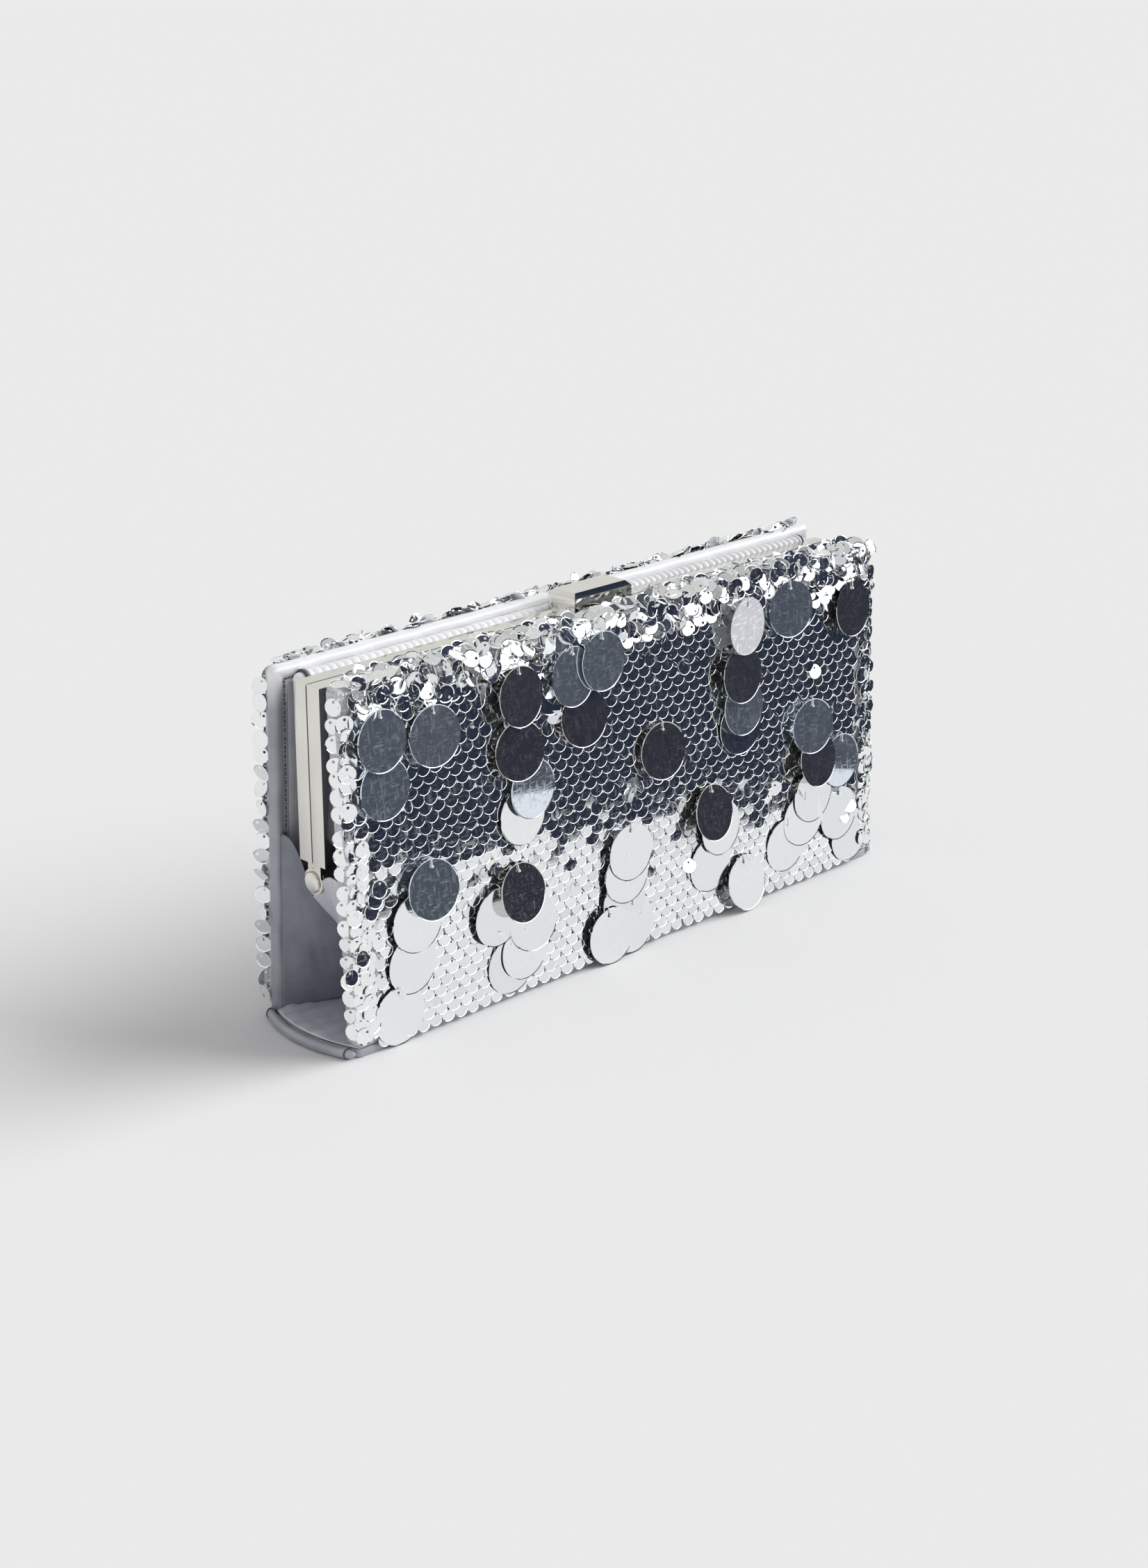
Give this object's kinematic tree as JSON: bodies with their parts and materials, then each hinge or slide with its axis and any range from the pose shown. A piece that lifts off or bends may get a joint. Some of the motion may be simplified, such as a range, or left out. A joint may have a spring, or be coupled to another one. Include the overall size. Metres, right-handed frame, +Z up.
{
  "type": "evening bag",
  "caption": "Box clutch bag with sequined stiff panels, satin base and gussets, a riveted metal frame that opens at the top, a lift lock and swinging mirror discs.",
  "frame": {"origin": "middle of the bag's length and depth, on the plane it stands on", "axes": "+X along the bag's length to the right as seen from the front, -Y out of the sequined front, +Z up"},
  "size_m": [0.246, 0.0483, 0.1251],
  "materials": {
    "satin": "soft satin, blue grey",
    "lining_satin": "satin lining, blue grey",
    "sequin_cloth": "cloth covered in silver sequins",
    "greyboard": "plain stiff board",
    "foam": "thin foam padding",
    "nickel": "polished nickel plate",
    "spring_steel": "plain spring steel",
    "paper_cord": "twisted paper cord",
    "mirror_film": "mirror silver film"
  },
  "bodies": {
    "base": {"base_board": "greyboard", "base_cover": "satin", "base_lining": "satin", "base_piping_left": "satin", "base_piping_right": "satin"},
    "front_panel": {"front_sequin_cloth": "sequin_cloth", "front_foam": "foam", "front_board": "greyboard", "front_lining": "lining_satin", "gusset_leaf_front_left": "satin", "gusset_leaf_front_right": "satin"},
    "back_panel": {"back_sequin_cloth": "sequin_cloth", "back_foam": "foam", "back_board": "greyboard", "back_lining": "lining_satin", "back_binding": "satin", "gusset_leaf_back_left": "satin", "gusset_leaf_back_right": "satin"},
    "front_frame": {"front_frame_channel": "nickel", "front_frame_cord": "paper_cord", "front_top_facing": "sequin_cloth", "front_side_facing_left": "lining_satin", "front_side_facing_right": "lining_satin", "lock_catch": "nickel"},
    "back_frame": {"back_frame_channel": "nickel", "back_frame_cord": "paper_cord", "back_satin_roll": "satin", "back_side_facing_left": "lining_satin", "back_side_facing_right": "lining_satin", "lock_hinge_plate": "nickel", "lock_pin": "spring_steel", "lock_spring": "spring_steel", "rivet_left": "nickel", "rivet_right": "nickel"},
    "lock_cap": {"lock_cap": "nickel"},
    "paillette_01": {"paillette_01": "mirror_film"},
    "paillette_02": {"paillette_02": "mirror_film"},
    "paillette_03": {"paillette_03": "mirror_film"},
    "paillette_04": {"paillette_04": "mirror_film"},
    "paillette_05": {"paillette_05": "mirror_film"},
    "paillette_06": {"paillette_06": "mirror_film"},
    "paillette_07": {"paillette_07": "mirror_film"},
    "paillette_08": {"paillette_08": "mirror_film"},
    "paillette_09": {"paillette_09": "mirror_film"},
    "paillette_10": {"paillette_10": "mirror_film"},
    "paillette_11": {"paillette_11": "mirror_film"},
    "paillette_12": {"paillette_12": "mirror_film"},
    "paillette_13": {"paillette_13": "mirror_film"},
    "paillette_14": {"paillette_14": "mirror_film"},
    "paillette_15": {"paillette_15": "mirror_film"},
    "paillette_16": {"paillette_16": "mirror_film"},
    "paillette_17": {"paillette_17": "mirror_film"},
    "paillette_18": {"paillette_18": "mirror_film"},
    "paillette_19": {"paillette_19": "mirror_film"},
    "paillette_20": {"paillette_20": "mirror_film"},
    "paillette_21": {"paillette_21": "mirror_film"},
    "paillette_22": {"paillette_22": "mirror_film"},
    "paillette_23": {"paillette_23": "mirror_film"},
    "paillette_24": {"paillette_24": "mirror_film"}
  },
  "joints": [
    {"name": "front_panel_hinge", "type": "hinge", "parent": "base", "child": "front_panel", "pos_m": [0, -0.023, 0.0038], "axis": [1, 0, 0], "range_deg": [0, 15]},
    {"name": "back_panel_hinge", "type": "hinge", "parent": "base", "child": "back_panel", "pos_m": [0, 0.023, 0.0038], "axis": [1, 0, 0], "range_deg": [-15, 0]},
    {"name": "front_frame_fold", "type": "hinge", "parent": "front_panel", "child": "front_frame", "pos_m": [0, -0.01238, 0.1174], "axis": [1, 0, 0], "range_deg": [0, 13.2]},
    {"name": "back_frame_fold", "type": "hinge", "parent": "back_panel", "child": "back_frame", "pos_m": [0, 0.01238, 0.1174], "axis": [1, 0, 0], "range_deg": [-13.2, 0]},
    {"name": "lock_cap_hinge", "type": "hinge", "parent": "back_frame", "child": "lock_cap", "pos_m": [0, 0.004, 0.1198], "axis": [-1, 0, 0], "range_deg": [0, 30], "stiffness_Nm_per_rad": 0.01, "springref_deg": -17.19},
    {"name": "paillette_01_swing", "type": "hinge", "parent": "front_panel", "child": "paillette_01", "pos_m": [-0.10947, -0.02152, 0.10984], "axis": [0, -0.999, 0.0441], "range_deg": [-12, 12]},
    {"name": "paillette_02_swing", "type": "hinge", "parent": "front_panel", "child": "paillette_02", "pos_m": [-0.10824, -0.02161, 0.09423], "axis": [0, -0.999, 0.0441], "range_deg": [-12, 12]},
    {"name": "paillette_03_swing", "type": "hinge", "parent": "front_panel", "child": "paillette_03", "pos_m": [-0.08794, -0.02108, 0.10622], "axis": [0, -0.999, 0.0441], "range_deg": [-12, 12]},
    {"name": "paillette_04_swing", "type": "hinge", "parent": "front_panel", "child": "paillette_04", "pos_m": [-0.09225, -0.02385, 0.05709], "axis": [0, -0.999, 0.0441], "range_deg": [-12, 12]},
    {"name": "paillette_05_swing", "type": "hinge", "parent": "front_panel", "child": "paillette_05", "pos_m": [-0.0984, -0.02367, 0.04747], "axis": [0, -0.999, 0.0441], "range_deg": [-12, 12]},
    {"name": "paillette_06_swing", "type": "hinge", "parent": "front_panel", "child": "paillette_06", "pos_m": [-0.05289, -0.02207, 0.11106], "axis": [0, -0.999, 0.0441], "range_deg": [-12, 12]},
    {"name": "paillette_07_swing", "type": "hinge", "parent": "front_panel", "child": "paillette_07", "pos_m": [-0.05289, -0.02226, 0.09305], "axis": [0, -0.999, 0.0441], "range_deg": [-12, 12]},
    {"name": "paillette_08_swing", "type": "hinge", "parent": "front_panel", "child": "paillette_08", "pos_m": [-0.04797, -0.0223, 0.07864], "axis": [0, -0.999, 0.0441], "range_deg": [-12, 12]},
    {"name": "paillette_09_swing", "type": "hinge", "parent": "front_panel", "child": "paillette_09", "pos_m": [-0.05535, -0.02378, 0.04507], "axis": [0, -0.999, 0.0441], "range_deg": [-12, 12]},
    {"name": "paillette_10_swing", "type": "hinge", "parent": "front_panel", "child": "paillette_10", "pos_m": [-0.02891, -0.02141, 0.11224], "axis": [0, -0.999, 0.0441], "range_deg": [-12, 12]},
    {"name": "paillette_11_swing", "type": "hinge", "parent": "front_panel", "child": "paillette_11", "pos_m": [-0.01599, -0.02191, 0.11466], "axis": [0, -0.999, 0.0441], "range_deg": [-12, 12]},
    {"name": "paillette_12_swing", "type": "hinge", "parent": "front_panel", "child": "paillette_12", "pos_m": [-0.02398, -0.02148, 0.09722], "axis": [0, -0.999, 0.0441], "range_deg": [-12, 12]},
    {"name": "paillette_13_swing", "type": "hinge", "parent": "front_panel", "child": "paillette_13", "pos_m": [-0.0043, -0.02438, 0.0451], "axis": [0, -0.999, 0.0441], "range_deg": [-12, 12]},
    {"name": "paillette_14_swing", "type": "hinge", "parent": "front_panel", "child": "paillette_14", "pos_m": [-0.00615, -0.02412, 0.03728], "axis": [0, -0.999, 0.0441], "range_deg": [-12, 12]},
    {"name": "paillette_15_swing", "type": "hinge", "parent": "front_panel", "child": "paillette_15", "pos_m": [0.0123, -0.02238, 0.07684], "axis": [0, -0.999, 0.0441], "range_deg": [-12, 12]},
    {"name": "paillette_16_swing", "type": "hinge", "parent": "front_panel", "child": "paillette_16", "pos_m": [0.03567, -0.02362, 0.04867], "axis": [0, -0.999, 0.0441], "range_deg": [-12, 12]},
    {"name": "paillette_17_swing", "type": "hinge", "parent": "front_panel", "child": "paillette_17", "pos_m": [0.05412, -0.02204, 0.11166], "axis": [0, -0.999, 0.0441], "range_deg": [-12, 12]},
    {"name": "paillette_18_swing", "type": "hinge", "parent": "front_panel", "child": "paillette_18", "pos_m": [0.05105, -0.02218, 0.09485], "axis": [0, -0.999, 0.0441], "range_deg": [-12, 12]},
    {"name": "paillette_19_swing", "type": "hinge", "parent": "front_panel", "child": "paillette_19", "pos_m": [0.05228, -0.02211, 0.08284], "axis": [0, -0.999, 0.0441], "range_deg": [-12, 12]},
    {"name": "paillette_20_swing", "type": "hinge", "parent": "front_panel", "child": "paillette_20", "pos_m": [0.07503, -0.02256, 0.11349], "axis": [0, -0.999, 0.0441], "range_deg": [-12, 12]},
    {"name": "paillette_21_swing", "type": "hinge", "parent": "front_panel", "child": "paillette_21", "pos_m": [0.11009, -0.02108, 0.10622], "axis": [0, -0.999, 0.0441], "range_deg": [-12, 12]},
    {"name": "paillette_22_swing", "type": "hinge", "parent": "front_panel", "child": "paillette_22", "pos_m": [0.08733, -0.02397, 0.0679], "axis": [0, -0.999, 0.0441], "range_deg": [-12, 12]},
    {"name": "paillette_23_swing", "type": "hinge", "parent": "front_panel", "child": "paillette_23", "pos_m": [0.0904, -0.02396, 0.05469], "axis": [0, -0.999, 0.0441], "range_deg": [-12, 12]},
    {"name": "paillette_24_swing", "type": "hinge", "parent": "front_panel", "child": "paillette_24", "pos_m": [0.10455, -0.02354, 0.05047], "axis": [0, -0.999, 0.0441], "range_deg": [-12, 12]}
  ],
  "couplings": [
    {"joint": "back_panel_hinge", "follows": "front_panel_hinge", "ratio": -1},
    {"joint": "front_frame_fold", "follows": "front_panel_hinge", "ratio": 0.88},
    {"joint": "back_frame_fold", "follows": "front_panel_hinge", "ratio": -0.88}
  ]
}
